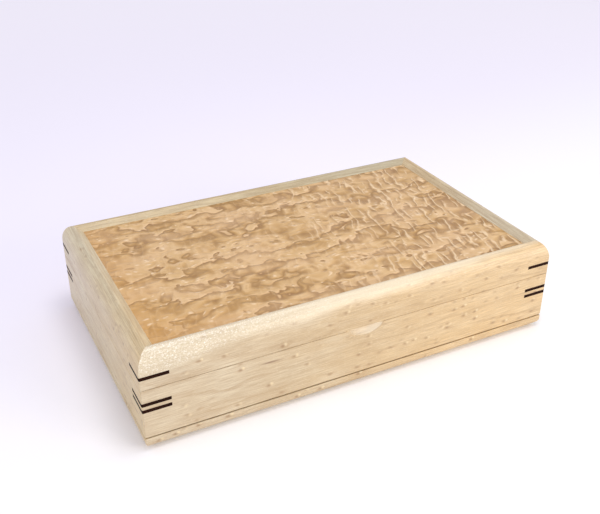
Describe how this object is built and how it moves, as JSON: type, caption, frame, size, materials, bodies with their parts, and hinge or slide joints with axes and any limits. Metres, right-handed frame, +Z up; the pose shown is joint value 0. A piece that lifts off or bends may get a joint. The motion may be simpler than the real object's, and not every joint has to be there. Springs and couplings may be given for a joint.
{
  "type": "wooden puzzle box",
  "caption": "Mitred maple puzzle box with wenge corner keys, a figured ash lid panel, a hinged lid, a hidden lid lock and a sliding base that gravity pins can lock.",
  "frame": {"origin": "centre of the base's underside, on the surface that the box stands on", "axes": "+X along the front towards the side that the base slides out of, +Y towards the hinged back, +Z up"},
  "size_m": [0.3, 0.1877, 0.0687],
  "materials": {
    "maple": "satin oiled bird's-eye maple",
    "figured_ash": "satin figured ash",
    "ash_inside": "satin plain ash",
    "wenge": "satin wenge",
    "brass": "brushed brass",
    "steel": "ground steel"
  },
  "bodies": {
    "case": {"case_key_back_left_lower": "wenge", "case_key_back_left_upper": "wenge", "case_key_back_right_lower": "wenge", "case_key_back_right_upper": "wenge", "case_key_front_left_lower": "wenge", "case_key_front_left_upper": "wenge", "case_key_front_right_lower": "wenge", "case_key_front_right_upper": "wenge", "case_wall_back": "maple", "case_wall_front": "maple", "case_wall_left": "maple", "case_wall_right": "maple", "floor_panel": "ash_inside", "guide_track_back": "maple", "guide_track_front": "maple", "hinge_leaf_case_left": "brass", "hinge_leaf_case_right": "brass", "hinge_pin_left": "brass", "hinge_pin_right": "brass", "hinge_screws_case": "brass", "keeper_bar_left": "brass", "keeper_bar_right": "brass", "keeper_screws": "brass", "liner_back": "ash_inside", "liner_front": "ash_inside", "liner_left": "ash_inside", "liner_right": "ash_inside"},
    "lid": {"catch_pins": "brass", "hinge_leaf_lid_left": "brass", "hinge_leaf_lid_right": "brass", "hinge_screws_lid": "brass", "lid_catch_left": "brass", "lid_catch_right": "brass", "lid_key_back_left": "wenge", "lid_key_back_right": "wenge", "lid_key_front_left": "wenge", "lid_key_front_right": "wenge", "lid_panel_core": "ash_inside", "lid_panel_face": "figured_ash", "lid_rail_back": "maple", "lid_rail_front": "maple", "lid_rail_left": "maple", "lid_rail_right": "maple"},
    "base": {"base_panel": "maple", "base_plugs": "maple", "base_rail_back": "maple", "base_rail_front": "maple", "base_rail_left": "maple", "base_rail_right": "maple", "base_runner_back": "maple", "base_runner_front": "maple", "base_screws": "brass", "pin_block": "maple"},
    "lock": {"finger_tab": "wenge", "lock_bar": "brass", "lock_hook_left": "brass", "lock_hook_right": "brass"},
    "pin_front": {"gravity_pin_front": "steel"},
    "pin_back": {"gravity_pin_back": "steel"}
  },
  "joints": [
    {"name": "lid_hinge", "type": "hinge", "parent": "case", "child": "lid", "pos_m": [0, 0.09335, 0.0445], "axis": [-1, 0, 0], "range_deg": [0, 95]},
    {"name": "base_slide", "type": "slide", "parent": "case", "child": "base", "axis": [1, 0, 0], "range_m": [0, 0.08]},
    {"name": "lock_slide", "type": "slide", "parent": "case", "child": "lock", "axis": [1, 0, 0], "range_m": [0, 0.008]},
    {"name": "pin_front_drop", "type": "slide", "parent": "base", "child": "pin_front", "axis": [0, 0, 1], "range_m": [0, 0.0036]},
    {"name": "pin_back_drop", "type": "slide", "parent": "base", "child": "pin_back", "axis": [0, 0, 1], "range_m": [0, 0.0036]}
  ]
}
